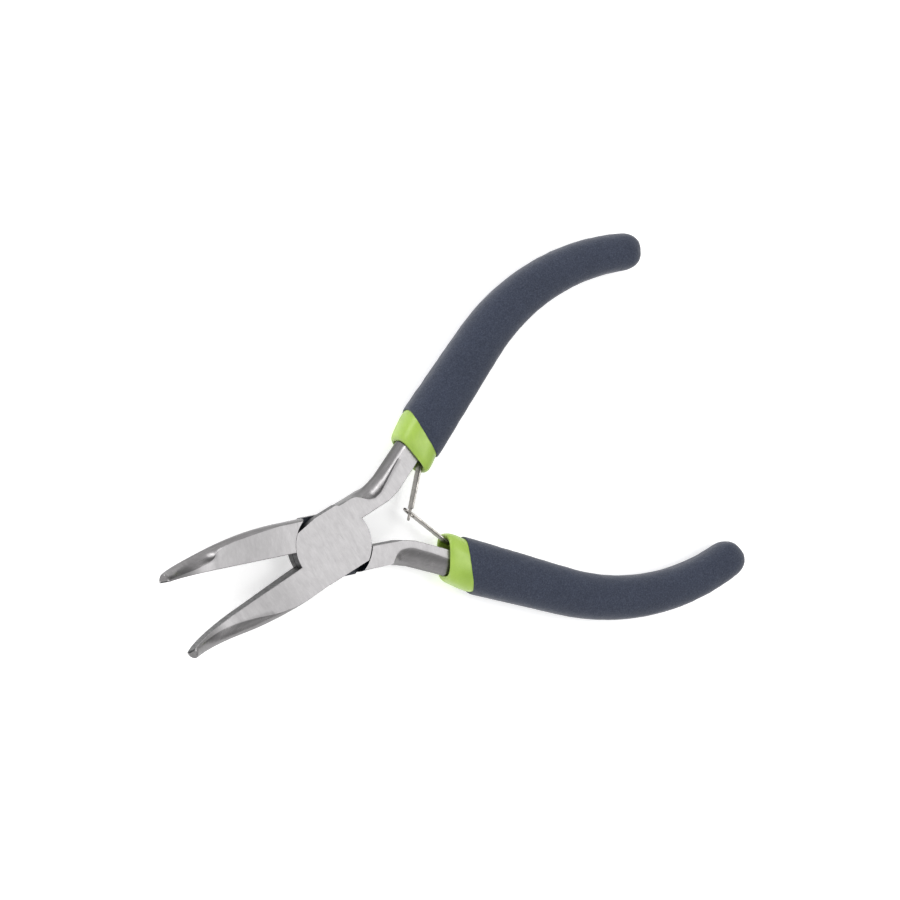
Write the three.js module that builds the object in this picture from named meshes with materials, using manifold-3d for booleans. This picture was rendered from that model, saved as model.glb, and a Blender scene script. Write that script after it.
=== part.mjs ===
// Bent-nose mini pliers with foam grips and a double leaf return spring.
//
// Frame, in millimetres: the origin is on the pivot axis, in the back face of the lap joint.
// +X runs from the joint to the handles, +Y towards the handle of the front half,
// +Z out of the front face, which is also the way that the jaw tips bend.
//
// Each half is drawn in its own frame: the middle line of the tool is y = 0, the jaw lies at
// -Y, the handle at +Y, and z = 0 is the middle of the joint's thickness. The front half is
// placed as drawn and the back half is turned over, apart from its jaw tip, which bends the
// same way as the other one. The model rests with the handles sprung open.

import * as THREE from 'three';
import { mergeVertices } from 'three/addons/utils/BufferGeometryUtils.js';
import Module from 'manifold-3d';

const wasm = await Module();
wasm.setup();

const DEG = Math.PI / 180;

// ---- driving dimensions -------------------------------------------------------------------

const HALF_OPENING = 10; // degrees that each handle is turned out from its drawn place at rest
const FRONT_JAW_SET = 2.7; // degrees that the front half's jaw is set further open
const BACK_JAW_SET = -0.6; // the same for the back half's jaw: closed is 22.1 degrees from rest
const THICKNESS = 6.2; // lap joint, front face to back face
const MID = THICKNESS / 2;
const GAP = 0.3; // between neighbouring pieces

const PLATE_RADIUS = 8.55; // the round joint plates, about the pivot
const JOINT_TOP = 7.0; // straight sides of the joint, from the closing line
const JOINT_BOTTOM = 6.85;
const RIVET_RADIUS = 2.5;

const GRIP_FACE = 0.05; // gripping face to the closing line
const JAW_TAPER_START = -11; // where the outer side of the jaw begins to run in
const JAW_BEND_START = -25.25; // where the nose begins to bend forward
const JAW_BEND_RADIUS = 15.7;
const JAW_BEND_ANGLE = 60; // degrees
const JAW_BEND_WIDTH = 5.15; // section where the bend begins
const JAW_BEND_THICKNESS = 4.8;
const JAW_TIP_WIDTH = 1.9; // section at the tip
const JAW_TIP_THICKNESS = 2.3;

const HANDLE_ANGLE = 24.85; // degrees from the closing line to the straight of the handle
const GRIP_START = new THREE.Vector2(30.4, 10.35); // centre of the foam grip's open end
const GRIP_STRAIGHT = 24.2; // straight length before the handle curves in
const GRIP_BEND_RADIUS = 52.7;
const GRIP_LENGTH = 68.2; // along the centre line, before the rounded end
const TANG_LENGTH = 62; // steel inside the foam grip
const COLLAR_TAIL = 9; // length of the collar hidden inside the foam grip

const LEAF_BASE = new THREE.Vector2(26.2, 3.96); // where the spring leaf leaves the collar
const LEAF_VERTEX = 19.65; // where the two leaves cross, from the pivot, at rest
const LEAF_THICKNESS = 0.4;
const LEAF_WIDTH = 2.8;
const FOOT_WIDTH = 3.4;
const FORK_WIDTH = 2.8;
const SLOT_WIDTH = 1.4;
const TONGUE_WIDTH = 0.8;
const LEAF_OVERRUN = 1.7; // leaf length past the crossing
const LEAF_RIVET_RADIUS = 0.7;
const LEAF_RIVET_PLACE = 5; // along the handle, from the grip's open end

// ---- materials ----------------------------------------------------------------------------

const STEEL = { color: 0xc6c3c5, roughness: 0.42, metalness: 1 };
const RIVET_STEEL = { color: 0xb9b7b8, roughness: 0.4, metalness: 1 };
const SPRING_STEEL = { color: 0xa9a59f, roughness: 0.35, metalness: 1 };
const GREEN_VINYL = { color: 0xb0d068, roughness: 0.35, metalness: 0 };
const SLATE_FOAM = { color: 0x46505f, roughness: 0.9, metalness: 0 };

// ---- solids -------------------------------------------------------------------------------

function toSolid(geometry) {
  const bare = geometry.clone();
  bare.deleteAttribute('normal');
  bare.deleteAttribute('uv');
  const merged = mergeVertices(bare, 1e-4);
  return new wasm.Manifold(new wasm.Mesh({
    numProp: 3,
    vertProperties: new Float32Array(merged.attributes.position.array),
    triVerts: new Uint32Array(merged.index.array),
  }));
}

function toGeometry(solid) {
  const mesh = solid.getMesh();
  const geometry = new THREE.BufferGeometry();
  geometry.setAttribute('position', new THREE.BufferAttribute(mesh.vertProperties, 3));
  geometry.setIndex(new THREE.BufferAttribute(mesh.triVerts, 1));
  return geometry;
}

// A closed solid through rings of points, each ring with the same number of points.
function loft(rings) {
  const count = rings[0].length;
  const position = rings.flat().flatMap((p) => [p.x, p.y, p.z]);
  const index = [];
  for (let r = 0; r < rings.length - 1; r += 1) {
    for (let i = 0; i < count; i += 1) {
      const a = r * count + i;
      const b = r * count + ((i + 1) % count);
      index.push(a, b, b + count, a, b + count, a + count);
    }
  }
  const last = (rings.length - 1) * count;
  for (let i = 1; i < count - 1; i += 1) {
    index.push(0, i + 1, i);
    index.push(last, last + i, last + i + 1);
  }
  const geometry = new THREE.BufferGeometry();
  geometry.setAttribute('position', new THREE.Float32BufferAttribute(position, 3));
  geometry.setIndex(index);
  const solid = toSolid(geometry);
  if (solid.volume() > 0) {
    return solid;
  }
  geometry.setIndex(index.reverse());
  return toSolid(geometry);
}

// A plate with a flat outline in XY, from z = low to z = high.
function plate(shape, low, high, curveSegments = 24) {
  const options = { depth: high - low, bevelEnabled: false, curveSegments };
  return toSolid(new THREE.ExtrudeGeometry(shape, options).translate(0, 0, low));
}

function polygon(points) {
  return new THREE.Shape(points.map(([x, y]) => new THREE.Vector2(x, y)));
}

function disc(radius, low, high, sides = 56) {
  const shape = new THREE.Shape().absarc(0, 0, radius, 0, 2 * Math.PI);
  return plate(shape, low, high, sides);
}

// ---- sections -----------------------------------------------------------------------------

// A slab section whose outer side has both edges rounded. "across" points from the flat inner
// side to the outer side, "up" is the thickness direction.
function slabRing(inner, across, up, width, thickness, rounding) {
  const radius = Math.min(rounding, thickness / 2 - 0.02, width - 0.1);
  const half = thickness / 2;
  const at = (w, t) => inner.clone().addScaledVector(across, w).addScaledVector(up, t);
  const ring = [at(0, -half)];
  const steps = 4;
  for (let i = 0; i <= steps; i += 1) {
    const a = (i / steps) * 90 * DEG;
    ring.push(at(width - radius + radius * Math.sin(a), -half + radius * (1 - Math.cos(a))));
  }
  for (let i = 0; i <= steps; i += 1) {
    const a = (i / steps) * 90 * DEG;
    ring.push(at(width - radius + radius * Math.cos(a), half - radius * (1 - Math.sin(a))));
  }
  ring.push(at(0, half));
  return ring;
}

// A rounded oval section about a centre, half the width along "across", half the height in Z.
// The squareness is 2 for an ellipse, and more for a section with fuller corners.
function ovalRing(centre, across, halfWidth, halfHeight, squareness) {
  const sides = 24;
  const ring = [];
  for (let i = 0; i < sides; i += 1) {
    const a = (i / sides) * 2 * Math.PI;
    const u = Math.sign(Math.cos(a)) * Math.abs(Math.cos(a)) ** (2 / squareness);
    const v = Math.sign(Math.sin(a)) * Math.abs(Math.sin(a)) ** (2 / squareness);
    const y = halfWidth * u;
    ring.push(new THREE.Vector3(centre.x + across.x * y, centre.y + across.y * y, halfHeight * v));
  }
  return ring;
}

// ---- the handle's centre line -------------------------------------------------------------

// Point and outward side direction of the centre line, s millimetres past the grip's open end.
function handleAt(s) {
  const start = HANDLE_ANGLE * DEG;
  const straight = Math.min(s, GRIP_STRAIGHT);
  const point = new THREE.Vector2(Math.cos(start), Math.sin(start));
  point.multiplyScalar(straight).add(GRIP_START);
  const heading = start - Math.max(s - GRIP_STRAIGHT, 0) / GRIP_BEND_RADIUS;
  point.x += GRIP_BEND_RADIUS * (Math.sin(start) - Math.sin(heading));
  point.y += GRIP_BEND_RADIUS * (Math.cos(heading) - Math.cos(start));
  return { point, side: new THREE.Vector2(-Math.sin(heading), Math.cos(heading)) };
}

const mix = THREE.MathUtils.lerp;
const ramp = THREE.MathUtils.smoothstep;

const gripHalfWidth = (s) => mix(6.0, 4.85, Math.min(s / 45, 1)) - Math.max(s - 45, 0) / 40;
const gripHalfHeight = (s) => mix(4.8, 4.3, s / GRIP_LENGTH);
const tangTaper = (s) => 0.55 * Math.max(s, 0) / TANG_LENGTH;
const tangInner = (s) => mix(2.12, 2.35, ramp(s, 0, 8)) - tangTaper(s);
const tangOuter = (s) => mix(3.55, 2.95, ramp(s, -5, 8)) - tangTaper(s);
const tangHalfWidth = (s) => (tangOuter(s) + tangInner(s)) / 2;
const tangOffset = (s) => (tangOuter(s) - tangInner(s)) / 2;
const tangHalfHeight = (s) => mix(MID, 2.6, ramp(s, -5, 0)) - 0.5 * Math.max(s, 0) / TANG_LENGTH;

// ---- steel halves -------------------------------------------------------------------------

// Width of the jaw outside its gripping face, and its thickness, at x before the bend.
function jawWidth(x) {
  const taper = Math.max((JAW_TAPER_START - x) / (JAW_TAPER_START - JAW_BEND_START), 0);
  return mix(JOINT_BOTTOM, JAW_BEND_WIDTH, taper ** 2) - GRIP_FACE;
}

function jawThickness(x) {
  return mix(THICKNESS, JAW_BEND_THICKNESS, ramp(-x, 10, -JAW_BEND_START));
}

// The jaw, set open by some degrees, with its nose bent towards "front" (+1 or -1 in Z).
function jaw(front, set) {
  const across = new THREE.Vector3(0, -1, 0);
  const rings = [];
  for (const x of [-2, -9, -13, -17.5, -21.5, JAW_BEND_START]) {
    const inner = new THREE.Vector3(x, -GRIP_FACE, 0);
    const rounding = mix(0.3, 2.0, ramp(-x, 9, -JAW_BEND_START));
    const up = new THREE.Vector3(0, 0, 1);
    rings.push(slabRing(inner, across, up, jawWidth(x), jawThickness(x), rounding));
  }
  const steps = 8;
  for (let i = 1; i <= steps; i += 1) {
    const t = i / steps;
    const a = t * JAW_BEND_ANGLE * DEG;
    const x = JAW_BEND_START - JAW_BEND_RADIUS * Math.sin(a);
    const z = front * JAW_BEND_RADIUS * (1 - Math.cos(a));
    const up = new THREE.Vector3(front * Math.sin(a), 0, Math.cos(a));
    const width = mix(jawWidth(JAW_BEND_START), JAW_TIP_WIDTH, t);
    const thickness = mix(jawThickness(JAW_BEND_START), JAW_TIP_THICKNESS, t);
    const inner = new THREE.Vector3(x, -GRIP_FACE, z);
    rings.push(slabRing(inner, across, up, width, thickness, mix(2.0, 2.3, t)));
  }
  return loft(rings).rotate([0, 0, set]);
}

// The shank from the joint to the collar and the tang inside the grip.
function shankAndTang() {
  const up = new THREE.Vector3(0, 0, 1);
  const straightUp = new THREE.Vector3(0, 1, 0);
  const root = [[2, 1.75, 5.25, 0.3], [8.4, 1.75, 5.0, 0.3], [12.4, 1.8, 4.9, 0.5]];
  const rings = root.map(([x, y, width, rounding]) => slabRing(
    new THREE.Vector3(x, y, 0), straightUp, up, width, THICKNESS, rounding));
  const crank = [[15.6, 1.85, 14, 5.5], [18.4, 2.5, 22, 5.7]];
  for (const [x, y, turn, width] of crank) {
    const across = new THREE.Vector3(-Math.sin(turn * DEG), Math.cos(turn * DEG), 0);
    rings.push(slabRing(new THREE.Vector3(x, y, 0), across, up, width, THICKNESS, 2.9));
  }
  for (const s of [-8, -5, -2.5, 0, 4, 12, 24, 32, 40, 48, 56, TANG_LENGTH]) {
    const { point, side } = handleAt(s);
    const across = new THREE.Vector3(side.x, side.y, 0);
    const halfWidth = tangHalfWidth(s);
    const inner = new THREE.Vector3(point.x, point.y, 0);
    inner.addScaledVector(across, tangOffset(s) - halfWidth);
    rings.push(slabRing(inner, across, up, 2 * halfWidth, 2 * tangHalfHeight(s), 2.9));
  }
  return loft(rings);
}

// The round plate of the joint, with its straight sides and its sloping front corner.
function jointPlate() {
  const outline = polygon([
    [-9, -JOINT_BOTTOM], [9, -JOINT_BOTTOM], [9, JOINT_TOP], [-0.8, JOINT_TOP],
    [-6.0, 5.9], [-9, 3.5],
  ]);
  const clipped = plate(outline, GAP / 2, MID);
  return clipped.intersect(disc(PLATE_RADIUS, GAP / 2, MID));
}

function forgedHalf(front, set) {
  const clearance = disc(PLATE_RADIUS + GAP, -MID - 1, GAP / 2);
  const body = jaw(front, set).add(shankAndTang()).subtract(clearance);
  const hole = disc(RIVET_RADIUS + GAP, -MID - 1, MID + 1, 32);
  return body.add(jointPlate()).subtract(hole).subtract(leafRivet(GAP));
}

// ---- spring -------------------------------------------------------------------------------

// The small rivet that holds the leaf's foot to the tang, or with extra > 0 the hole for it.
function leafRivet(extra) {
  const { point, side } = handleAt(LEAF_RIVET_PLACE);
  const low = -3.3 - extra;
  const high = -0.6 + extra;
  const pin = new THREE.CylinderGeometry(
    LEAF_RIVET_RADIUS + extra, LEAF_RIVET_RADIUS + extra, high - low, 20);
  pin.translate(0, (low + high) / 2, 0);
  pin.rotateZ(Math.atan2(side.y, side.x) - 90 * DEG);
  return toSolid(pin.translate(point.x, point.y, 0));
}

// The flat foot of the leaf, which lies on the tang inside the collar.
function leafFoot() {
  const line = [LEAF_BASE];
  for (const [s, drop] of [[0, 2.62], [COLLAR_TAIL - 1.5, 2.95]]) {
    const { point, side } = handleAt(s);
    line.push(point.addScaledVector(side, -drop));
  }
  const [base, bend, end] = line;
  const neck = strip([base, bend], LEAF_WIDTH);
  return neck.add(strip([bend, end], FOOT_WIDTH)).subtract(leafRivet(GAP));
}

// A thin strip along a line of points in the plan, with its width in Z.
function strip(line, width) {
  const left = [];
  const right = [];
  line.forEach((p, i) => {
    const before = line[Math.max(i - 1, 0)];
    const after = line[Math.min(i + 1, line.length - 1)];
    const along = after.clone().sub(before).normalize();
    left.push([p.x - along.y * LEAF_THICKNESS / 2, p.y + along.x * LEAF_THICKNESS / 2]);
    right.unshift([p.x + along.y * LEAF_THICKNESS / 2, p.y - along.x * LEAF_THICKNESS / 2]);
  });
  return plate(polygon(right.concat(left)), -width / 2, width / 2);
}

// The slot in the forked leaf, cut right through its thickness.
function leafSlot(from, to) {
  const along = to.clone().sub(from).normalize();
  const normal = new THREE.Vector2(-along.y, along.x).multiplyScalar(LEAF_THICKNESS);
  const corners = [
    from.clone().sub(normal), to.clone().sub(normal),
    to.clone().add(normal), from.clone().add(normal),
  ];
  return plate(new THREE.Shape(corners), -SLOT_WIDTH / 2, SLOT_WIDTH / 2);
}

// The leaf outside the collar. The front half's leaf ends in a tongue and the back half's in a
// slotted fork, which the tongue passes through.
function leafBlade(forked) {
  const turn = HALF_OPENING * DEG;
  const vertex = new THREE.Vector2(LEAF_VERTEX, 0).rotateAround(new THREE.Vector2(), -turn);
  const along = vertex.clone().sub(LEAF_BASE);
  const length = along.length();
  along.normalize();
  const at = (d) => LEAF_BASE.clone().addScaledVector(along, d);
  if (forked) {
    const blade = strip([at(GAP), at(length + LEAF_OVERRUN)], FORK_WIDTH);
    return blade.subtract(leafSlot(at(length - 1.3), at(length + 1.0)));
  }
  const shoulder = length - 0.9;
  return strip([at(GAP), at(shoulder)], LEAF_WIDTH)
    .add(strip([at(shoulder - 0.2), at(length + LEAF_OVERRUN)], TONGUE_WIDTH));
}

// ---- collar and grip ----------------------------------------------------------------------

const GRIP_SQUARENESS = 2.4;
const COLLAR_SQUARENESS = 2.8;
const BORE_SQUARENESS = 6;

// A section between a point on the inner side and one on the outer side of the handle.
function ringBetween([x1, y1], [x2, y2], halfHeight, squareness) {
  const a = new THREE.Vector2(x1, y1);
  const b = new THREE.Vector2(x2, y2);
  const across = b.clone().sub(a).normalize();
  const halfWidth = a.distanceTo(b) / 2;
  return ovalRing(a.add(b).multiplyScalar(0.5), across, halfWidth, halfHeight, squareness);
}

function handleRing(s, halfWidth, halfHeight, squareness = GRIP_SQUARENESS) {
  const { point, side } = handleAt(s);
  return ovalRing(point, side, halfWidth, halfHeight, squareness);
}

function collar() {
  const outside = [
    [[26.5, 3.0], [24.8, 12.4], 4.0],
    [[27.1, 2.5], [25.6, 13.3], 4.4],
    [[30.3, 4.1], [29.9, 16.0], 4.7],
  ];
  const head = loft(outside.map(([a, b, height]) => ringBetween(a, b, height, COLLAR_SQUARENESS)));
  const tail = loft([-2, COLLAR_TAIL].map((s) => handleRing(s, 4.5, 3.75, COLLAR_SQUARENESS)));
  const bore = loft([
    ringBetween([25.6, 2.9], [23.5, 11.5], 3.45, BORE_SQUARENESS),
    ringBetween([30.7, 6.0], [29.6, 14.6], 3.3, BORE_SQUARENESS),
    handleRing(3, 3.75, 3.0, BORE_SQUARENESS),
    handleRing(COLLAR_TAIL + 1, 3.75, 3.0, BORE_SQUARENESS),
  ]);
  return head.add(tail).subtract(bore);
}

function foamGrip() {
  const outer = [
    ringBetween([30.6, 4.3], [30.15, 16.35], 4.65, GRIP_SQUARENESS),
    ringBetween([30.9, 4.25], [30.5, 16.75], 4.8, GRIP_SQUARENESS),
  ];
  for (const s of [6, 14, 24, 31, 38, 45, 52, 59, 65, GRIP_LENGTH]) {
    outer.push(handleRing(s, gripHalfWidth(s), gripHalfHeight(s)));
  }
  for (const a of [30, 55, 75]) {
    const s = GRIP_LENGTH + gripHalfWidth(GRIP_LENGTH) * Math.sin(a * DEG);
    const shrink = Math.cos(a * DEG);
    outer.push(handleRing(s, gripHalfWidth(s) * shrink, gripHalfHeight(GRIP_LENGTH) * shrink));
  }
  const tailEnds = [-3, COLLAR_TAIL + GAP];
  const tailBore = loft(tailEnds.map((s) => handleRing(s, 4.8, 4.05, COLLAR_SQUARENESS)));
  const up = new THREE.Vector3(0, 0, 1);
  const tangRings = [COLLAR_TAIL, 16, 24, 32, 40, 48, 56, TANG_LENGTH + GAP].map((s) => {
    const { point, side } = handleAt(s);
    const across = new THREE.Vector3(side.x, side.y, 0);
    const halfWidth = tangHalfWidth(s) + GAP;
    const inner = new THREE.Vector3(point.x, point.y, 0);
    inner.addScaledVector(across, tangOffset(s) - halfWidth);
    return slabRing(inner, across, up, 2 * halfWidth, 2 * (tangHalfHeight(s) + GAP), 2.9);
  });
  return loft(outer).subtract(tailBore).subtract(loft(tangRings));
}

// ---- assembly -----------------------------------------------------------------------------

function node(name, solid, finish) {
  const mesh = new THREE.Mesh(toGeometry(solid), new THREE.MeshStandardMaterial(finish));
  mesh.name = name;
  return mesh;
}

// One half with what is fastened to it. The back half is turned over about the X axis.
function half(prefix, forging, front, forked) {
  const group = new THREE.Group();
  const set = forked ? BACK_JAW_SET : FRONT_JAW_SET;
  group.add(node(forging, forgedHalf(front, set), STEEL));
  group.add(node(`${prefix}_spring_foot`, leafFoot(), SPRING_STEEL));
  group.add(node(`${prefix}_spring_blade`, leafBlade(forked), SPRING_STEEL));
  group.add(node(`${prefix}_spring_rivet`, leafRivet(0), RIVET_STEEL));
  group.add(node(`${prefix}_collar`, collar(), GREEN_VINYL));
  group.add(node(`${prefix}_grip`, foamGrip(), SLATE_FOAM));
  return group;
}

const pliers = new THREE.Group();
pliers.position.z = MID;

const frontHalf = half('upper', 'front_half', 1, false);
frontHalf.rotation.z = HALF_OPENING * DEG;
pliers.add(frontHalf);

const backHalf = half('lower', 'back_half', -1, true);
backHalf.rotation.x = Math.PI;
backHalf.rotation.order = 'ZXY';
backHalf.rotation.z = -HALF_OPENING * DEG;
pliers.add(backHalf);

pliers.add(node('pivot_rivet', disc(RIVET_RADIUS, -MID, MID, 32), RIVET_STEEL));

export default pliers;
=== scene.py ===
"""Bent nose mini pliers with foam grips, vinyl collars and a double leaf return spring.

The scene is in metres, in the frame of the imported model. The shapes are worked out in
millimetres in the drawn frame of one half (pivot at the origin, jaw along -X and below y = 0,
handle along +X and above it, z = 0 at mid thickness), and Half.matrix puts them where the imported
model has them.
"""

from math import asin, cos, hypot, pi, radians, sin

import bmesh
import bpy
from mathutils import Matrix, Vector


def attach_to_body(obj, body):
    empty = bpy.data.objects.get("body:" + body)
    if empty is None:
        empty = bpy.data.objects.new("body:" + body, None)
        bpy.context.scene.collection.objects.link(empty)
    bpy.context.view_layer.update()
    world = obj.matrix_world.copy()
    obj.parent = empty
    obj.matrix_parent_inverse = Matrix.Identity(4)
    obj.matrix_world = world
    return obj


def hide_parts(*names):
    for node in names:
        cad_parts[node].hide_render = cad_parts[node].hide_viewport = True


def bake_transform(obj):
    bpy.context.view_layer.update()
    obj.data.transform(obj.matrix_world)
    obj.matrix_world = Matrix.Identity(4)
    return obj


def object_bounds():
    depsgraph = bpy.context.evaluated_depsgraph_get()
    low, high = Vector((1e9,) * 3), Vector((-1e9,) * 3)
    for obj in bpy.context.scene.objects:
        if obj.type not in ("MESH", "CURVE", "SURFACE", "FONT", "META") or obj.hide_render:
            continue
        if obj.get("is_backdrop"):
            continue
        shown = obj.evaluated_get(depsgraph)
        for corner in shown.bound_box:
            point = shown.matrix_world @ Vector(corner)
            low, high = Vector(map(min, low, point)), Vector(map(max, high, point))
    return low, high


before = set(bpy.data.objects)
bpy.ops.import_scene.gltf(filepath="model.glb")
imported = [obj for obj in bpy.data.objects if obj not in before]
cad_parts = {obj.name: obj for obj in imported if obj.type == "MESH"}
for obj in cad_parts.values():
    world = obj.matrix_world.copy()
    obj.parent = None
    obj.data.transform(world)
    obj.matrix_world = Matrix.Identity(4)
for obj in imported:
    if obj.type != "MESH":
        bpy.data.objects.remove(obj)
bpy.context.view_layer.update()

MM = 0.001

# ---- dimensions, in millimetres and degrees -------------------------------------------------

# each half is turned open by this much from the closed drawing
REST_OPENING = 10.0
# half the thickness of the joint
MID = 3.1

# the joint: a plate on the face of each half, above the recess for the other half's plate
PLATE_GAP = 0.15
PLATE_RADIUS = 8.55
RECESS_RADIUS = 8.66
RECESS_SHIFT = 0.1
JOINT_TOP = 7.2
JOINT_BOTTOM = 6.85
# the sloping corner of the plate in front of the handle's side
PLATE_CORNER = [(-0.8, JOINT_TOP), (-6.0, 6.27), (-9.0, 4.1)]
RIVET_RADIUS = 2.5
RIVET_FIT = 0.008
# how far a cutting shape stands out past the faces
CUT_PAST = 1

# the jaw: straight from the joint to the bend, then along an arc that leaves the plane
GRIP_FACE = 0.05
TAPER_START = -11
THINNING_START = -10
BEND_START = -25.25
BEND_RADIUS = 15.7
BEND_ANGLE = 60.0
BEND_WIDTH = 5.15
BEND_HALF = 2.4
TIP_WIDTH = 1.9
TIP_HALF = 1.15
NOSE_HOLLOW = 0.3
EDGE = 0.12

# the handle's centre line: straight, then an arc back towards the other handle
HANDLE_ANGLE = 24.85
GRIP_START = (30.4, 10.35)
GRIP_STRAIGHT = 24.2
GRIP_BEND_RADIUS = 52.7
GRIP_LENGTH = 68.2

# the tang in the grip: from the centre line to its inner and outer edge, in the collar's mouth
# and further in, and half its thickness there
TANG_START = 4
TANG_LENGTH = 62.0
TANG_INNER = (2.12, 2.35)
TANG_OUTER = (3.55, 2.95)
TANG_HALF = 2.6
TANG_TAPER = 0.55
TANG_FLAT_SHARE = 0.45

# a spring leaf: foot on the tang, bend in the collar's mouth, and straight part past the
# crossing with the other leaf
LEAF_BASE = (26.2, 3.96)
LEAF_VERTEX = 19.65
LEAF_THICKNESS = 0.4
LEAF_OVERRUN = 1.7
LEAF_BEVEL = 0.05
LEAF_HALF_WIDTH = 1.4
FOOT_HALF_WIDTH = 1.7
NECK_HALF_WIDTH = 1.5
FOOT_END = (7.5, 2.95)
FOOT_BEND = (0, 2.62)
SLOT_BEFORE = 1.3
SLOT_BEYOND = 1.0
FLEX_FROM = -1.0
FLEX_TO = 3.0

# the rivet that holds a leaf's foot
LEAF_RIVET_PLACE = 5
LEAF_RIVET_RADIUS = 0.7
LEAF_RIVET_FIT = 0.05


# ---- small helpers --------------------------------------------------------------------------

def mix(a, b, t):
    return a + (b - a) * t


def ease(t):
    """A smooth step from 0 to 1."""
    t = min(max(t, 0), 1)
    return t * t * (3 - 2 * t)


def along(x, stops):
    """The value at x on the broken line through (place, value) stops."""
    if x <= stops[0][0]:
        return stops[0][1]
    for (x0, y0), (x1, y1) in zip(stops, stops[1:]):
        if x <= x1:
            return mix(y0, y1, (x - x0) / (x1 - x0))
    return stops[-1][1]


def span(first, last, count):
    return [first + (last - first) * i / (count - 1) for i in range(count)]


def circle(radius, count):
    return [(radius * cos(2 * pi * i / count), radius * sin(2 * pi * i / count))
            for i in range(count)]


def handle_at(s):
    """Point and outward side direction of the handle's centre line, s past the grip's open end."""
    start = radians(HANDLE_ANGLE)
    straight = min(s, GRIP_STRAIGHT)
    heading = start - max(s - GRIP_STRAIGHT, 0) / GRIP_BEND_RADIUS
    x = GRIP_START[0] + cos(start) * straight + GRIP_BEND_RADIUS * (sin(start) - sin(heading))
    y = GRIP_START[1] + sin(start) * straight + GRIP_BEND_RADIUS * (cos(heading) - cos(start))
    return Vector((x, y, 0)), Vector((-sin(heading), cos(heading), 0))


class Half:
    """One half of the pliers: where its drawn shapes go, and what they ride on.

    The side is its handle's. The sign is 1 for the front half, and -1 for the back half, which
    is turned over, so that its jaw bends the other way in the drawing. The jaw is set off the
    middle line by some degrees, and the leaf ends in a fork or a tongue.
    """

    def __init__(self, side, body, sign, jaw_set, forked):
        self.side = side
        self.body = body
        self.leaf_body = f"{side}_leaf"
        self.sign = sign
        self.jaw_set = jaw_set
        self.forked = forked
        self.turn = radians(REST_OPENING * sign)
        flip = Matrix.Rotation(pi, 4, "X") if sign < 0 else Matrix.Identity(4)
        self.matrix = (Matrix.Scale(MM, 4) @ Matrix.Translation((0, 0, MID))
                       @ Matrix.Rotation(self.turn, 4, "Z") @ flip)

    def place(self, point):
        return self.matrix @ Vector(point)

    def placed(self, rings):
        return [[self.place(point) for point in ring] for ring in rings]


UPPER = Half("upper", "front", 1, 2.7, False)
LOWER = Half("lower", "back", -1, -0.6, True)


# ---- meshes ---------------------------------------------------------------------------------

def new_object(name, data):
    obj = bpy.data.objects.new(name, data)
    bpy.context.scene.collection.objects.link(obj)
    return obj


def finish_mesh(name, bm, materials):
    """A smooth-shaded object with the mesh that was built in bm."""
    for face in bm.faces:
        face.smooth = True
    mesh = bpy.data.meshes.new(name)
    bm.to_mesh(mesh)
    bm.free()
    for material in materials:
        mesh.materials.append(material)
    return new_object(name, mesh)


def ring_mesh(name, rings, materials, tags=None, loop=False, cap_tag=0):
    """A closed mesh through rings with equal numbers of points; a loop has no caps.

    The tags are the material slots of the strips between neighbouring points.
    """
    bm = bmesh.new()
    rows = [[bm.verts.new(point) for point in ring] for ring in rings]
    count = len(rings[0])
    pairs = list(zip(rows, rows[1:])) + ([(rows[-1], rows[0])] if loop else [])
    for first, second in pairs:
        for i in range(count):
            j = (i + 1) % count
            face = bm.faces.new((first[i], first[j], second[j], second[i]))
            face.material_index = tags[i] if tags else 0
    if not loop:
        for row in (rows[0], rows[-1]):
            face = bm.faces.new(row)
            face.material_index = cap_tag
    bmesh.ops.recalc_face_normals(bm, faces=bm.faces)
    return finish_mesh(name, bm, materials)


def apply_modifiers(obj):
    """Puts the result of the modifiers into the object's own mesh."""
    depsgraph = bpy.context.evaluated_depsgraph_get()
    mesh = bpy.data.meshes.new_from_object(obj.evaluated_get(depsgraph))
    old = obj.data
    obj.modifiers.clear()
    obj.data = mesh
    mesh.name = obj.name
    bpy.data.meshes.remove(old)
    return obj


def combine(obj, steps):
    """Joins and cuts obj with other objects by exact booleans, and removes those."""
    for operation, other in steps:
        modifier = obj.modifiers.new(operation, "BOOLEAN")
        modifier.operation = operation
        modifier.solver = "EXACT"
        modifier.material_mode = "INDEX"
        modifier.object = other
    apply_modifiers(obj)
    for _, other in steps:
        bpy.data.objects.remove(other)
    return obj


def smooth_shade(obj, angle=28):
    obj.data.shade_smooth()
    obj.data.set_sharp_from_angle(angle=radians(angle))


def subdivide(obj, levels):
    modifier = obj.modifiers.new("subsurf", "SUBSURF")
    modifier.levels = levels
    modifier.render_levels = levels
    return apply_modifiers(obj)


# ---- steel forgings -------------------------------------------------------------------------

# material slots of a forging
BRUSHED, POLISHED, SHADED_SIDE, SCALE_AND_SHADE = range(4)
# points on a section's ground faces, on each quarter of its outer side, and on its inner side
FACE_STEPS = 4
ARC_STEPS = 9
SIDE_STEPS = 3
# how far the outer side's ellipses stand out past the ground faces
OVERSHOOT = 1.05
# a face looks up or down if its normal has more than this along Z
FACING = 0.9


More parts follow.
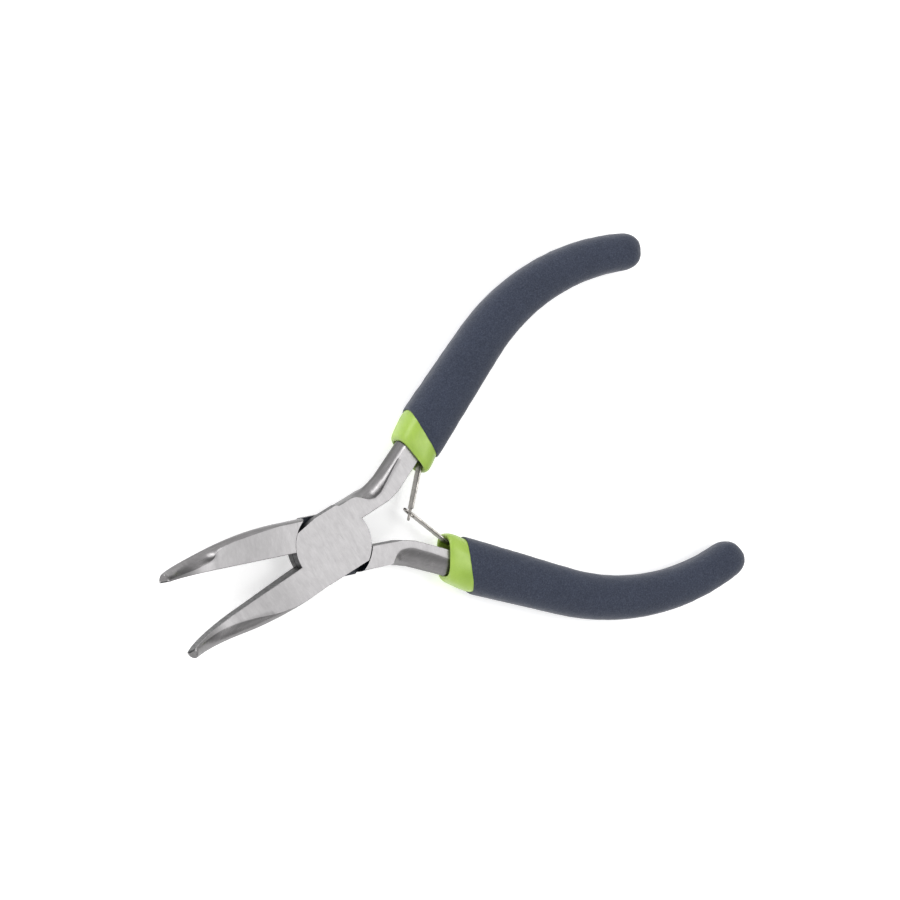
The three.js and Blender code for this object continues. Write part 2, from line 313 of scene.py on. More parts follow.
def slab_section(width, half_thick, lower_flat, upper_flat):
    """Points (across, up) of a bar that is ground flat on its lower and upper faces.

    The outer side is two quarters of ellipses that start a little outside the ground faces, so
    that a crisp line divides them.
    """
    tall = half_thick * OVERSHOOT
    start = asin(1 / OVERSHOOT)
    points = [(0, -half_thick + EDGE)]
    points += [(mix(EDGE, lower_flat, t), -half_thick) for t in span(0, 1, FACE_STEPS + 1)[:-1]]
    for flat, angles in ((lower_flat, span(-start, 0, ARC_STEPS + 1)[:-1]),
                         (upper_flat, span(0, start, ARC_STEPS + 1))):
        reach = (width - flat) / (1 - cos(start))
        points += [(width - reach * (1 - cos(a)), tall * sin(a)) for a in angles]
    points += [(mix(upper_flat, EDGE, t), half_thick) for t in span(0, 1, FACE_STEPS + 1)[1:]]
    points += [(0, t) for t in span(half_thick - EDGE, -half_thick + EDGE, SIDE_STEPS + 1)[:-1]]
    return points


# the inner side's strips take the near-black side steel, which paints their shade
SECTION_TAGS = ([BRUSHED] * (FACE_STEPS + 1) + [POLISHED] * (2 * ARC_STEPS)
                + [BRUSHED] * (FACE_STEPS + 1) + [SHADED_SIDE] * SIDE_STEPS)


def section_ring(inner, across, up, width, half_thick, lower_flat, upper_flat):
    points = slab_section(width, half_thick, lower_flat, upper_flat)
    return [inner + across * w + up * t for w, t in points]


def jaw_width(x):
    taper = max((TAPER_START - x) / (TAPER_START - BEND_START), 0)
    return mix(JOINT_BOTTOM, BEND_WIDTH, taper ** 2) - GRIP_FACE


def jaw_half(x):
    return mix(MID, BEND_HALF, ease((x - THINNING_START) / (BEND_START - THINNING_START)))


# width of the ground faces along the jaw, from the tip: the plate's side, and the other
PLATE_SIDE_JAW = [(-38.9, 0.45), (-36, 0.6), (-32, 0.95), (-28.6, 1.5), (-26.8, 1.95),
                  (-24.7, 2.5), (-22, 3.5), (-20, 4.4), (-17.3, 5.4), (-14, 6.15), (-11, 6.45)]
RECESS_SIDE_JAW = [(-38.9, 0.4), (-36, 0.55), (-32, 0.9), (-29.5, 1.3), (-27.5, 1.8),
                   (-26.2, 2.5), (-24.8, 4.0), (-21.5, 4.95), (-17.7, 5.5), (-14, 5.95),
                   (-11, 6.25)]
# shares of the nose's arc and size where the last rings draw in to round off the tip
TIP_ROUNDING = [(0.978, 0.975), (0.989, 0.91), (0.997, 0.8), (1.0, 0.66)]


def jaw_rings(half):
    """Rings of the jaw, from inside the joint to the rounded tip."""
    across = Vector((0, -1, 0))
    rings = []
    for x in span(-2, BEND_START, 34):
        inner = Vector((x, -GRIP_FACE, 0))
        rings.append(section_ring(inner, across, Vector((0, 0, 1)), jaw_width(x), jaw_half(x),
                                  along(x, RECESS_SIDE_JAW), along(x, PLATE_SIDE_JAW)))
    for t, shrink in [(t, 1.0) for t in span(0, 0.965, 30)[1:]] + TIP_ROUNDING:
        a = radians(BEND_ANGLE * t)
        x = BEND_START - BEND_RADIUS * sin(a)
        z = half.sign * BEND_RADIUS * (1 - cos(a))
        up = Vector((half.sign * sin(a), 0, cos(a)))
        width = mix(jaw_width(BEND_START), TIP_WIDTH, t) - NOSE_HOLLOW * sin(pi * t)
        thick = mix(jaw_half(BEND_START), TIP_HALF, t)
        inner = Vector((x, -GRIP_FACE - width * (1 - shrink) * 0.5, z))
        rings.append(section_ring(inner, across, up, width * shrink, thick * shrink,
                                  along(x, RECESS_SIDE_JAW) * shrink,
                                  along(x, PLATE_SIDE_JAW) * shrink))
    turn = Matrix.Rotation(radians(half.jaw_set), 3, "Z")
    return [[turn @ point for point in ring] for ring in rings]


# width of the ground faces along the shank: on the joint plate's side, and on the other
PLATE_SIDE_FLAT = [(8.6, 4.85), (9.4, 4.6), (10.2, 4.0), (10.9, 3.3), (12, 2.5), (13.2, 2.1),
                   (15.3, 2.5), (18.4, 3.4), (22, 3.85), (26, 4.15), (32, 3.2)]
RECESS_SIDE_FLAT = [(12.2, 4.75), (12.8, 4.4), (13.7, 3.2), (15.2, 2.1), (17.2, 1.6), (19.4, 1.6),
                    (22, 1.65), (26, 1.95), (32, 2.0)]
# inner edge (x, y), turn and width of the shank between the joint and the collar
SHANK_LINE = [(2, 1.75, 0, 5.25), (8.4, 1.75, 0, 5.0), (12.4, 1.8, 0, 4.9),
              (15.6, 1.85, 14, 5.5), (18.4, 2.5, 22, 5.7)]
# where the shank goes over into the tang, s past the grip's open end
MOUTH_STATIONS = (-8, -5, -2.5, 0, TANG_START)
RING_SPACING = 0.45


def tang_section(s):
    """Inner edge point, side direction, width and half thickness of the tang at s."""
    point, side = handle_at(s)
    taper = TANG_TAPER * max(s, 0) / TANG_LENGTH
    inner = mix(*TANG_INNER, ease(s / 8)) - taper
    outer = mix(*TANG_OUTER, ease((s + 5) / 13)) - taper
    half_thick = mix(MID, TANG_HALF, ease((s + 5) / 5)) - taper
    return point - side * inner, side, inner + outer, half_thick


def shank_rings():
    """Rings of the shank from inside the joint to the collar, and of the tang in the grip."""
    up = Vector((0, 0, 1))
    stations = []
    for x, y, turn, width in SHANK_LINE:
        side = Vector((-sin(radians(turn)), cos(radians(turn)), 0))
        stations.append((Vector((x, y, 0)), side, width, MID))
    stations += [tang_section(s) for s in MOUTH_STATIONS]
    rings = []
    for (p0, d0, w0, h0), (p1, d1, w1, h1) in zip(stations, stations[1:]):
        steps = max(int((p1 - p0).length / RING_SPACING), 2)
        for t in span(0, 1, steps + 1)[:-1]:
            point = p0.lerp(p1, t)
            rings.append(section_ring(point, d0.lerp(d1, t).normalized(), up,
                                      mix(w0, w1, t), mix(h0, h1, t),
                                      along(point.x, RECESS_SIDE_FLAT),
                                      along(point.x, PLATE_SIDE_FLAT)))
    for s in span(TANG_START, TANG_LENGTH, 30):
        point, side, width, half_thick = tang_section(s)
        flat = width * TANG_FLAT_SHARE
        rings.append(section_ring(point, side, up, width, half_thick, flat, flat))
    return rings


def clip(polygon, nx, ny, limit):
    """The part of a convex polygon where nx*x + ny*y <= limit."""
    result = []
    for (x0, y0), (x1, y1) in zip(polygon, polygon[1:] + polygon[:1]):
        d0 = nx * x0 + ny * y0 - limit
        d1 = nx * x1 + ny * y1 - limit
        if d0 <= 0:
            result.append((x0, y0))
        if d0 * d1 < 0:
            t = d0 / (d0 - d1)
            result.append((mix(x0, x1, t), mix(y0, y1, t)))
    return result


def plate_outline():
    """A disc, cut off at the joint's two sides and along the sloping corner."""
    outline = circle(PLATE_RADIUS, 144)
    outline = clip(outline, 0, 1, JOINT_TOP)
    outline = clip(outline, 0, -1, JOINT_BOTTOM)
    for (x0, y0), (x1, y1) in zip(PLATE_CORNER, PLATE_CORNER[1:]):
        nx, ny = y1 - y0, x0 - x1
        outline = clip(outline, nx, ny, nx * x0 + ny * y0)
    return outline


def prism(name, outline, levels, tags, materials):
    """A solid through copies of one outline, each with its own height and inset.

    The tags are the material slots of its lower face, its sides and its upper face.
    """
    rings = []
    for z, inset in levels:
        ring = []
        for x, y in outline:
            pull = 1 - inset / hypot(x, y)
            ring.append(Vector((x * pull, y * pull, z)))
        rings.append(ring)
    obj = ring_mesh(name, rings, materials)
    lower, side, upper = tags
    for polygon in obj.data.polygons:
        facing = polygon.normal.z
        polygon.material_index = lower if facing < -FACING else upper if facing > FACING else side
    return obj


def leaf_rivet(name, fit, materials):
    """The small rivet that holds the leaf's foot to the tang, or its wider hole."""
    point, side = handle_at(LEAF_RIVET_PLACE)
    forward = Vector((side.y, -side.x, 0))
    rings = []
    for drop, shrink in ((-3.3 - fit, 0.8), (-3.2 - fit, 1), (-0.6 + fit, 1)):
        rings.append([point + side * drop + forward * x + Vector((0, 0, y))
                      for x, y in circle((LEAF_RIVET_RADIUS + fit) * shrink, 32)])
    return ring_mesh(name, rings, materials)


def forging(half, materials):
    """One forging, joined and cut in its drawn frame, where faces that meet agree exactly."""
    jaw = ring_mesh(f"{half.body}_forging", jaw_rings(half), materials, SECTION_TAGS,
                    cap_tag=POLISHED)
    shank = ring_mesh("shank", shank_rings(), materials, SECTION_TAGS)
    past = MID + CUT_PAST
    # the recess's faces and the plate's lower face take the blue-black scale, kept near black as
    # painted shade
    outline = [(x + RECESS_SHIFT, y) for x, y in circle(RECESS_RADIUS, 160)]
    recess = prism("recess", outline, [(-past, 0), (PLATE_GAP, 0)], (SCALE_AND_SHADE,) * 3, materials)
    # the plate's side wall takes the near-black side steel, which paints its shade
    plate = prism("plate", plate_outline(),
                  [(PLATE_GAP, 0), (MID - EDGE / 2, 0), (MID, EDGE / 2)],
                  (SCALE_AND_SHADE, SHADED_SIDE, BRUSHED), materials)
    hole = prism("hole", circle(RIVET_RADIUS + RIVET_FIT, 96), [(-past, 0), (past, 0)],
                 (POLISHED,) * 3, materials)
    pin = leaf_rivet("pin", LEAF_RIVET_FIT, materials)
    combine(jaw, [("UNION", shank), ("DIFFERENCE", recess), ("UNION", plate),
                  ("DIFFERENCE", hole), ("DIFFERENCE", pin)])
    jaw.data.transform(half.matrix)
    smooth_shade(jaw)
    return jaw


# ---- collar and grip ------------------------------------------------------------------------

RING_SIDES = 56


def oval_ring(centre, across, half_width, half_height, squareness):
    """A ring between an ellipse (squareness 2) and a rectangle (larger ones)."""
    ring = []
    power = 2 / squareness
    for i in range(RING_SIDES):
        a = 2 * pi * i / RING_SIDES
        u = abs(cos(a)) ** power * (1 if cos(a) > 0 else -1)
        v = abs(sin(a)) ** power * (1 if sin(a) > 0 else -1)
        ring.append(centre + across * (half_width * u) + Vector((0, 0, half_height * v)))
    return ring


def ring_between(inner, outer, half_height, squareness):
    """A ring whose inner and outer side lie at two drawn points."""
    a, b = Vector((*inner, 0)), Vector((*outer, 0))
    return oval_ring((a + b) / 2, (b - a).normalized(), (b - a).length / 2, half_height,
                     squareness)


def handle_ring(s, half_width, half_height, squareness):
    """A ring round the handle's centre line."""
    point, side = handle_at(s)
    return oval_ring(point, side, half_width, half_height, squareness)


def collar(half, material):
    """An open vinyl sleeve: outside, tail in the grip, bore and rounded lip, in one loop."""
    outside = [
        ring_between((26.15, 3.05), (24.6, 12.1), 3.85, 3.6),
        ring_between((26.2, 2.75), (24.7, 12.55), 4.05, 3.5),
        ring_between((26.55, 2.5), (25.05, 13.1), 4.25, 3.3),
        ring_between((27.4, 2.5), (25.9, 13.75), 4.4, 3.0),
        ring_between((29.0, 3.35), (27.9, 15.15), 4.55, 2.7),
        ring_between((30.3, 4.25), (29.8, 16.3), 4.65, 2.5),
        ring_between((30.9, 4.6), (30.6, 16.2), 4.55, 2.5),
    ]
    tail = [
        handle_ring(3, 4.6, 3.9, 2.6),
        handle_ring(8.6, 4.5, 3.8, 2.6),
        handle_ring(9, 4.1, 3.4, 3),
        handle_ring(8.6, 3.75, 3.0, 5),
        handle_ring(3, 3.75, 3.05, 5),
    ]
    bore = [
        ring_between((30.4, 5.8), (29.3, 14.3), 3.3, 4.5),
        ring_between((28.2, 4.6), (26.9, 12.9), 3.35, 4.5),
        ring_between((26.7, 3.95), (25.0, 11.6), 3.4, 4.2),
        ring_between((26.3, 3.72), (24.6, 11.6), 3.5, 3.6),
    ]
    obj = ring_mesh(f"{half.side}_vinyl_collar", half.placed(outside + tail + bore), [material],
                    loop=True)
    return subdivide(obj, 2)


FOAM_HALF_WIDTHS = (6.0, 4.85)
FOAM_HALF_HEIGHTS = (4.8, 4.3)
FOAM_SQUARENESS = 2.4
# the grip narrows quickly down to here, then slowly
FOAM_WAIST = 45
FOAM_LEAN = 0.8
FOAM_END = 67.3
CAP_ANGLES = (15, 30, 45, 60, 72, 83)
CAP_POWER = 0.66
LUMP_SIZE = 2.2
LUMP_HEIGHT = 0.16


def grip_half_width(s):
    return mix(*FOAM_HALF_WIDTHS, min(s / FOAM_WAIST, 1)) - max(s - FOAM_WAIST, 0) / 40


def grip_half_height(s):
    return mix(*FOAM_HALF_HEIGHTS, s / GRIP_LENGTH)


def foam_grip(half, material):
    """The foam sleeve, from its bore round the open end to the closed, rounded end."""
    rings = [handle_ring(9.2, 4.4, 3.7, 2.6), handle_ring(5, 4.5, 3.8, 2.6)]
    mouth = [
        ring_between((31.1, 4.75), (30.85, 16.15), 4.45, 2.5),
        ring_between((30.62, 4.4), (30.25, 16.15), 4.6, 2.4),
        ring_between((30.55, 4.12), (30.1, 16.45), 4.75, 2.4),
        ring_between((30.75, 4.0), (30.35, 16.85), 4.85, 2.4),
        ring_between((31.3, 4.12), (31.0, 17.15), 4.88, 2.4),
    ]
    # the foam's end reaches further over the collar on its front and back faces
    reach = Vector((cos(radians(HANDLE_ANGLE)), sin(radians(HANDLE_ANGLE)), 0)) * FOAM_LEAN
    rings += [[point - reach * (point.z / FOAM_HALF_HEIGHTS[0]) ** 2 for point in ring]
              for ring in mouth]
    for s in span(5, FOAM_END, 24):
        rings.append(handle_ring(s, grip_half_width(s), grip_half_height(s), FOAM_SQUARENESS))
    for a in CAP_ANGLES:
        s = FOAM_END + grip_half_width(FOAM_END) * sin(radians(a))
        shrink = cos(radians(a)) ** CAP_POWER
        rings.append(handle_ring(s, grip_half_width(s) * shrink,
                                 grip_half_height(FOAM_END) * shrink, FOAM_SQUARENESS))
    obj = ring_mesh(f"{half.side}_foam_grip", half.placed(rings), [material])
    subdivide(obj, 2)
    lumps = bpy.data.textures.new(f"{half.side}_foam_lumps", "CLOUDS")
    lumps.noise_scale = LUMP_SIZE * MM
    lumps.noise_depth = 3
    displace = obj.modifiers.new("lumps", "DISPLACE")
    displace.texture = lumps
    displace.texture_coords = "LOCAL"
    displace.strength = LUMP_HEIGHT * MM
    displace.mid_level = 0.5
    apply_modifiers(obj)
    return obj


# ---- spring leaves --------------------------------------------------------------------------

# shares of the half width where a leaf's rows of points lie; the slot takes the middle columns
LEAF_COLUMNS = (-1, -0.54, 0, 0.54, 1)
SLOT_COLUMNS = (1, 2)


def leaf_line():
    """Base, direction and length of a leaf's straight part, from collar to crossing."""
    turn = radians(-REST_OPENING)
    vertex = Vector((LEAF_VERTEX * cos(turn), LEAF_VERTEX * sin(turn), 0))
    base = Vector((*LEAF_BASE, 0))
    return base, (vertex - base).normalized(), (vertex - base).length


def fork_blade(crossing, end):
    """Places along the forked blade, closer beside the slot, and (place, half width) stops."""
    slot_start, slot_end = crossing - SLOT_BEFORE, crossing + SLOT_BEYOND
    marks = span(0, slot_start, 14)[1:] + span(slot_start, slot_end, 6)[1:]
    marks += [crossing + 1.25, crossing + 1.5, end]
    return marks, [(0, LEAF_HALF_WIDTH), (crossing, 1.35), (crossing + 0.9, 1.1),
                   (crossing + 1.3, 0.8), (end, 0.3)]


def tongue_blade(crossing, end):
    """The same for the blade that steps in to a narrow tongue."""
    shoulder, neck = crossing - 1.0, crossing - 0.85
    marks = span(0, shoulder, 14)[1:] + [neck] + span(neck, end, 8)[1:]
    return marks, [(0, LEAF_HALF_WIDTH), (shoulder, 1.25), (neck, 0.42), (end - 0.2, 0.38),
                   (end, 0.25)]


def leaf_stations(half):
    """Points along a leaf with their half widths: foot, neck in the mouth, straight blade."""
    base, direction, crossing = leaf_line()
    foot_end, bend = (handle_at(s)[0] - handle_at(s)[1] * drop for s, drop in (FOOT_END, FOOT_BEND))
    shape = fork_blade if half.forked else tongue_blade
    marks, widths = shape(crossing, crossing + LEAF_OVERRUN)
    stations = [(foot_end.lerp(bend, t), FOOT_HALF_WIDTH) for t in span(0, 1, 12)]
    stations += [(bend.lerp(base, t), mix(NECK_HALF_WIDTH, LEAF_HALF_WIDTH, t))
                 for t in span(0, 1, 8)[1:]]
    return stations + [(base + direction * d, along(d, widths)) for d in marks]


def leaf(half, material):
    """One spring strip, with a bend in its shape where its straight part leaves the collar."""
    base, direction, crossing = leaf_line()
    stations = leaf_stations(half)
    bm = bmesh.new()
    rows = [[bm.verts.new(point + Vector((0, 0, column * wide))) for column in LEAF_COLUMNS]
            for point, wide in stations]
    for (first, second), (p0, _), (p1, _) in zip(zip(rows, rows[1:]), stations, stations[1:]):
        place = ((p0 + p1) / 2 - base).dot(direction)
        in_slot = half.forked and crossing - SLOT_BEFORE < place < crossing + SLOT_BEYOND
        for c in range(len(LEAF_COLUMNS) - 1):
            if not (in_slot and c in SLOT_COLUMNS):
                bm.faces.new((first[c], first[c + 1], second[c + 1], second[c]))
    for vertex in bm.verts:
        vertex.co = half.place(vertex.co)
    obj = finish_mesh(f"{half.side}_spring_leaf", bm, [material])
    solid = obj.modifiers.new("solid", "SOLIDIFY")
    solid.thickness = LEAF_THICKNESS * MM
    solid.offset = 0
    solid.use_even_offset = True
    bevel = obj.modifiers.new("bevel", "BEVEL")
    bevel.width = LEAF_BEVEL * MM
    bevel.segments = 2
    bevel.limit_method = "ANGLE"
    apply_modifiers(obj)
    smooth_shade(obj, 35)
    start = half.place(base + direction * FLEX_FROM)
    end = half.place(base + direction * FLEX_TO)
    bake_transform(obj)
    return obj


# ---- materials ------------------------------------------------------------------------------

class Nodes:
    """A material's node tree, with short ways to add nodes."""

    def __init__(self, name):
        self.material = bpy.data.materials.new(name)
        self.material.use_nodes = True
        self.tree = self.material.node_tree
        self.tree.nodes.clear()
        output = self.tree.nodes.new("ShaderNodeOutputMaterial")
        self.shader = self.tree.nodes.new("ShaderNodeBsdfPrincipled")
        self.link(self.shader.outputs[0], output.inputs[0])
        coordinates = self.tree.nodes.new("ShaderNodeTexCoord")
        self.place = coordinates.outputs["Object"]
        self.normal = coordinates.outputs["Normal"]

    def link(self, source, target):
        self.tree.links.new(source, target)

    def noise(self, frequency, turn=0.0, detail=3.0, rough=0.55, distortion=0.0):
        """Noise of object coordinates, turned about Z, by frequencies per metre."""
        spin = self.tree.nodes.new("ShaderNodeMapping")
        spin.inputs["Rotation"].default_value = (0, 0, -turn)
        self.link(self.place, spin.inputs["Vector"])
        stretch = self.tree.nodes.new("ShaderNodeMapping")
        stretch.inputs["Scale"].default_value = frequency
        self.link(spin.outputs[0], stretch.inputs["Vector"])
        node = self.tree.nodes.new("ShaderNodeTexNoise")
        node.inputs["Scale"].default_value = 1.0
        node.inputs["Detail"].default_value = detail
        node.inputs["Roughness"].default_value = rough
        node.inputs["Distortion"].default_value = distortion
        self.link(stretch.outputs[0], node.inputs["Vector"])
        return node.outputs["Fac"]

    def facing_up(self):
        """How far the surface faces the front or the back, from 0 on its sides to 1."""
        split = self.tree.nodes.new("ShaderNodeSeparateXYZ")
        self.link(self.normal, split.inputs[0])
        size = self.tree.nodes.new("ShaderNodeMath")
        size.operation = "ABSOLUTE"
        self.link(split.outputs["Z"], size.inputs[0])
        return size.outputs[0]

    def ramp(self, value, stops):
        """A value or colour that follows the input through (place, grey or colour) stops."""
        node = self.tree.nodes.new("ShaderNodeValToRGB")
        elements = node.color_ramp.elements
        while len(elements) < len(stops):
            elements.new(0.5)
        for element, (at, colour) in zip(elements, stops):
            element.position = at
            if not hasattr(colour, "__len__"):
                colour = (colour,) * 3
            element.color = (*colour, 1)
        self.link(value, node.inputs[0])
        return node.outputs[0]

    def darken(self, tone, value, stops, share=0.8):
        """The tone times a ramp of the value, of which a share is felt."""
        shade = self.ramp(value, stops)
        node = self.tree.nodes.new("ShaderNodeMix")
        node.data_type = "RGBA"
        node.blend_type = "MULTIPLY"
        node.inputs["Factor"].default_value = share
        # the mix node's colour sockets A and B, and its colour result
        self.link(tone, node.inputs[6])
        self.link(shade, node.inputs[7])
        return node.outputs[2]

    def bump(self, height, strength, distance, before=None):
        """A normal with bumps of a distance in millimetres, on top of earlier bumps."""
        node = self.tree.nodes.new("ShaderNodeBump")
        node.inputs["Strength"].default_value = strength
        node.inputs["Distance"].default_value = distance * MM
        self.link(height, node.inputs["Height"])
        if before is not None:
            self.link(before, node.inputs["Normal"])
        return node.outputs[0]

    def finish(self, color, rough, normal=None, **values):
        """The material, with more of the shader's sockets set by name."""
        self.link(color, self.shader.inputs["Base Color"])
        self.link(rough, self.shader.inputs["Roughness"])
        if normal is not None:
            self.link(normal, self.shader.inputs["Normal"])
        for name, value in values.items():
            self.shader.inputs[name.replace("_", " ")].default_value = value
        return self.material


def brushed_steel(name, turn):
    """Belt-ground faces: fine scratches across the tool, with a soft mottle under them."""
    nodes = Nodes(name)
    streaks = nodes.noise((2300, 260, 600), turn, detail=5, rough=0.7, distortion=0.5)
    fine = nodes.noise((6500, 900, 2500), turn + 0.1, detail=4, rough=0.65)
    mottle = nodes.noise((700, 520, 600), turn, detail=4, rough=0.6, distortion=0.5)
    tone = nodes.ramp(streaks, [(0.3, (0.43, 0.42, 0.425)), (0.7, (0.46, 0.449, 0.454))])
    tone = nodes.darken(tone, mottle, [(0.3, 0.88), (0.7, 1.0)])
    tone = nodes.darken(tone, fine, [(0.32, 0.88), (0.65, 1.0)])
    rough = nodes.ramp(streaks, [(0.3, 0.5), (0.7, 0.44)])
    normal = nodes.bump(streaks, 0.07, 0.03)
    normal = nodes.bump(fine, 0.2, 0.02, normal)
    return nodes.finish(tone, rough, normal, Metallic=1.0)


def polished_steel(name, turn):
    """Rounded sides: forged, then polished along their length, with painted shade on their steep
    parts.
    """
    nodes = Nodes(name)
    lines = nodes.noise((300, 1800, 2600), turn + 0.35, detail=4, rough=0.6)
    mottle = nodes.noise((500, 500, 500), turn, detail=4, rough=0.6)
    tone = nodes.ramp(lines, [(0.3, (0.225, 0.218, 0.221)), (0.7, (0.28, 0.273, 0.276))])
    # painted shade: the tone drops to about a third where the rounded side turns away from the
    # front and back
    tone = nodes.darken(tone, nodes.facing_up(), [(0.15, 0.34), (0.75, 1.0)], share=1.0)
    tone = nodes.darken(tone, mottle, [(0.3, 0.88), (0.7, 1.0)])
    rough = nodes.ramp(mottle, [(0.3, 0.33), (0.7, 0.26)])
    normal = nodes.bump(lines, 0.12, 0.03)
    normal = nodes.bump(mottle, 0.1, 0.08, normal)
    return nodes.finish(tone, rough, normal, Metallic=1.0)


def shaded_side_steel(name, turn):
    """Inner sides, throat and the plate's side walls: a near-black tone that paints their shade,
    finely scratched.
    """
    nodes = Nodes(name)
    lines = nodes.noise((1800, 1800, 300), turn, detail=4, rough=0.6)
    # painted shade: the side faces get a near-black tone instead of the steel's own
    tone = nodes.ramp(lines, [(0.3, (0.05, 0.05, 0.052)), (0.7, (0.08, 0.08, 0.082))])
    rough = nodes.ramp(lines, [(0.3, 0.5), (0.7, 0.38)])
    normal = nodes.bump(lines, 0.3, 0.03)
    return nodes.finish(tone, rough, normal, Metallic=1.0)


def scale_and_shade_steel():
    """Hidden faces of the joint: blue-black from hardening, a little oily, and kept near black as
    painted shade of the recess.
    """
    nodes = Nodes("joint_scale_and_shade")
    cloud = nodes.noise((900, 900, 900), detail=4)
    # near black: heat scale, and painted shade of the recess
    tone = nodes.ramp(cloud, [(0.3, (0.004, 0.007, 0.013)), (0.7, (0.012, 0.017, 0.028))])
    rough = nodes.ramp(cloud, [(0.3, 0.5), (0.7, 0.38)])
    normal = nodes.bump(cloud, 0.2, 0.05)
    return nodes.finish(tone, rough, normal, Metallic=0.3)


def spring_steel():
    """Rolled strip, a little warmer than the forgings, with fine lines and dull patches."""
    nodes = Nodes("spring_strip_steel")
    lines = nodes.noise((1500, 1500, 6000), detail=4, rough=0.6)
    patch = nodes.noise((900, 900, 700), detail=4)
    tone = nodes.ramp(lines, [(0.3, (0.29, 0.272, 0.25)), (0.7, (0.43, 0.41, 0.385))])
    tone = nodes.darken(tone, patch, [(0.35, 0.75), (0.65, 1.0)])
    rough = nodes.ramp(patch, [(0.3, 0.42), (0.7, 0.28)])
    normal = nodes.bump(lines, 0.2, 0.02)
    return nodes.finish(tone, rough, normal, Metallic=1.0)


def green_vinyl():
    """Dipped lime green vinyl, glossy, with slow waves and a few dull specks."""
    nodes = Nodes("lime_vinyl")
    waves = nodes.noise((260, 260, 260), detail=3, rough=0.5)
    specks = nodes.noise((3800, 3800, 3800), detail=3, rough=0.6)
    tone = nodes.ramp(waves, [(0.3, (0.29, 0.45, 0.055)), (0.7, (0.37, 0.545, 0.082))])
    tone = nodes.darken(tone, specks, [(0.3, 0.9), (0.6, 1.0)], share=0.7)
    rough = nodes.ramp(specks, [(0.3, 0.42), (0.7, 0.3)])
    normal = nodes.bump(waves, 0.35, 0.25)
    normal = nodes.bump(specks, 0.12, 0.05, normal)
    return nodes.finish(tone, rough, normal, Specular_IOR_Level=0.6, Subsurface_Weight=0.12,
                        Subsurface_Scale=1.0 * MM, Subsurface_Radius=(0.8, 1.0, 0.3))


def slate_foam():
    """Closed-cell foam skin: matt, with fine pits and paler rubbed grains."""
    nodes = Nodes("slate_foam")
    cells = nodes.noise((3200, 3200, 3200), detail=3, rough=0.7)
    coarse = nodes.noise((1100, 1100, 1100), detail=4, rough=0.65)
    slow = nodes.noise((110, 110, 110), detail=2)
    tone = nodes.ramp(cells, [(0.32, (0.025, 0.033, 0.057)), (0.5, (0.036, 0.045, 0.074)),
                              (0.68, (0.057, 0.069, 0.103))])
    tone = nodes.darken(tone, coarse, [(0.3, 0.78), (0.7, 1.0)])
    tone = nodes.darken(tone, slow, [(0.3, 0.88), (0.7, 1.0)])
    rough = nodes.ramp(cells, [(0.3, 0.95), (0.7, 0.8)])
    normal = nodes.bump(coarse, 0.5, 0.2)
    normal = nodes.bump(cells, 0.6, 0.1, normal)
    return nodes.finish(tone, rough, normal, Specular_IOR_Level=0.3, Sheen_Weight=0.25,
                        Sheen_Roughness=0.5)


def floor_paper():
    """Pale paper with a faint cloud, lit a little from within so that it stays pale."""
    nodes = Nodes("pale_floor")
    cloud = nodes.noise((30, 30, 30), detail=2)
    tone = nodes.ramp(cloud, [(0.3, 0.93), (0.7, 0.95)])
    rough = nodes.ramp(cloud, [(0.3, 0.9), (0.7, 0.85)])
    return nodes.finish(tone, rough, Specular_IOR_Level=0.1, Emission_Color=(1, 1, 1, 1),
                        Emission_Strength=0.4)


# ---- the pieces -----------------------------------------------------------------------------

vinyl = green_vinyl()
foam = slate_foam()
strip_steel = spring_steel()
scale_and_shade = scale_and_shade_steel()


def attach(obj, half, node):
    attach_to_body(obj, half.body)
    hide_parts(node)


def add_half(half):
    """A forging with its collar, grip, spring leaf and leaf rivet. Returns the ground steel."""
    side = half.side
    ground = brushed_steel(f"{half.body}_brushed", half.turn)
    polished = polished_steel(f"{half.body}_polished", half.turn)
    shaded_side = shaded_side_steel(f"{half.body}_shaded_side", half.turn)
    attach(forging(half, [ground, polished, shaded_side, scale_and_shade]), half, f"{half.body}_half")
    attach(collar(half, vinyl), half, f"{side}_collar")
    attach(foam_grip(half, foam), half, f"{side}_grip")
    strip = leaf(half, strip_steel)
    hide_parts(f"{side}_spring_foot", f"{side}_spring_blade")
    pin = leaf_rivet(f"{side}_leaf_rivet", 0.0, [strip_steel])
    pin.data.transform(half.matrix)
    smooth_shade(pin)
    attach(pin, half, f"{side}_spring_rivet")
    return ground


def add_pivot_rivet(half, ground):
    """The rivet through the joint, ground flush with both plates."""
    rivet = prism("flush_pivot_rivet", circle(RIVET_RADIUS, 96), [(-MID, 0), (MID, 0)],
                  (BRUSHED,) * 3, [ground])
    rivet.data.transform(half.matrix)
    smooth_shade(rivet)
    attach(rivet, half, "pivot_rivet")


front_ground = add_half(UPPER)
add_pivot_rivet(UPPER, front_ground)
add_half(LOWER)


# ---- floor, light and camera, in metres -----------------------------------------------------

FLOOR_SIZE = 6.0
low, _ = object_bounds()
bm = bmesh.new()
bmesh.ops.create_grid(bm, x_segments=8, y_segments=8, size=FLOOR_SIZE / 2)
floor = finish_mesh("floor", bm, [floor_paper()])
floor.location = (0, 0, low.z)
floor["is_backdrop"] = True

# the studio is evenly bright, with darker patches overhead and beyond the handles that
# polished steel can mirror: direction, inner and outer radius in degrees, brightness left
DARK_PATCHES = [((0.1, 0.42, 0.9), 10, 26, 0.05), ((0.95, -0.05, 0.15), 20, 40, 0.4),
                ((0.45, -0.87, 0.15), 10, 30, 0.5), ((0.13, -0.55, 0.83), 8, 24, 0.5)]


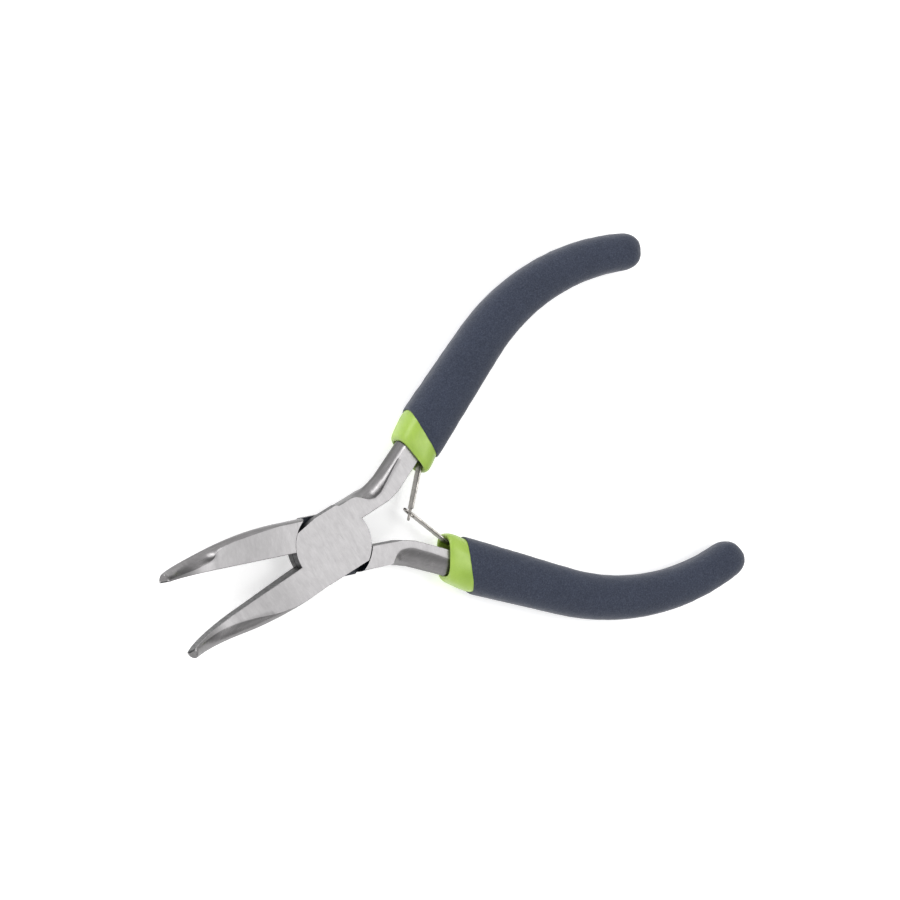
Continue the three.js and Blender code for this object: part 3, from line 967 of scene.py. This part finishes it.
def dark_patch(tree, direction, centre, inner, outer, share):
    """The brightness left in a direction by one patch with a soft rim."""
    nearness = tree.nodes.new("ShaderNodeVectorMath")
    nearness.operation = "DOT_PRODUCT"
    nearness.inputs[1].default_value = Vector(centre).normalized()
    tree.links.new(direction, nearness.inputs[0])
    patch = tree.nodes.new("ShaderNodeMapRange")
    patch.interpolation_type = "SMOOTHSTEP"
    patch.inputs["From Min"].default_value = cos(radians(outer))
    patch.inputs["From Max"].default_value = cos(radians(inner))
    patch.inputs["To Min"].default_value = 1.0
    patch.inputs["To Max"].default_value = share
    tree.links.new(nearness.outputs["Value"], patch.inputs["Value"])
    return patch.outputs["Result"]


def studio():
    """A white world whose strength is the product of the dark patches."""
    world = bpy.data.worlds.new("studio")
    world.use_nodes = True
    tree = world.node_tree
    sky = tree.nodes["Background"]
    sky.inputs["Color"].default_value = (1, 1, 1, 1)
    direction = tree.nodes.new("ShaderNodeTexCoord").outputs["Generated"]
    strength, *others = [dark_patch(tree, direction, *row) for row in DARK_PATCHES]
    for other in others:
        product = tree.nodes.new("ShaderNodeMath")
        product.operation = "MULTIPLY"
        tree.links.new(strength, product.inputs[0])
        tree.links.new(other, product.inputs[1])
        strength = product.outputs[0]
    tree.links.new(strength, sky.inputs["Strength"])
    return world


LIGHT_TARGET = Vector((0.033, 0.0, 0.003))


def softbox(name, direction, distance, size, power):
    """A rectangular light that looks at the pliers from a direction."""
    light = bpy.data.lights.new(name, "AREA")
    light.shape = "RECTANGLE"
    light.size, light.size_y = size
    light.energy = power
    obj = new_object(name, light)
    towards = Vector(direction).normalized()
    obj.location = LIGHT_TARGET + towards * distance
    obj.rotation_euler = towards.to_track_quat("Z", "Y").to_euler()


CAMERA_PLACE = Vector((-0.13196, 0.05313, 0.41906))
CAMERA_RIGHT = Vector((0.86588, -0.32709, 0.3785)).normalized()
CAMERA_UP = Vector((0.33914, 0.94003, 0.0365)).normalized()
CAMERA_LENS = 81.894
CAMERA_SENSOR = 36.0


def photo_camera():
    """A camera at the photo's viewing angle."""
    camera = new_object("camera", bpy.data.cameras.new("camera"))
    camera.data.lens = CAMERA_LENS
    camera.data.sensor_width = CAMERA_SENSOR
    camera.data.clip_start = 0.01
    back = CAMERA_RIGHT.cross(CAMERA_UP).normalized()
    axes = Matrix((CAMERA_RIGHT, back.cross(CAMERA_RIGHT), back)).transposed()
    camera.matrix_world = Matrix.Translation(CAMERA_PLACE) @ axes.to_4x4()
    return camera


bpy.context.scene.world = studio()
softbox("key", (0.368, -0.097, 0.925), 0.9, (0.3, 0.3), 1.4)
softbox("left", (-0.16, 0.74, 0.65), 0.7, (0.4, 0.2), 1.3)
bpy.context.scene.camera = photo_camera()
bpy.context.scene.view_settings.view_transform = "Standard"

low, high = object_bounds()
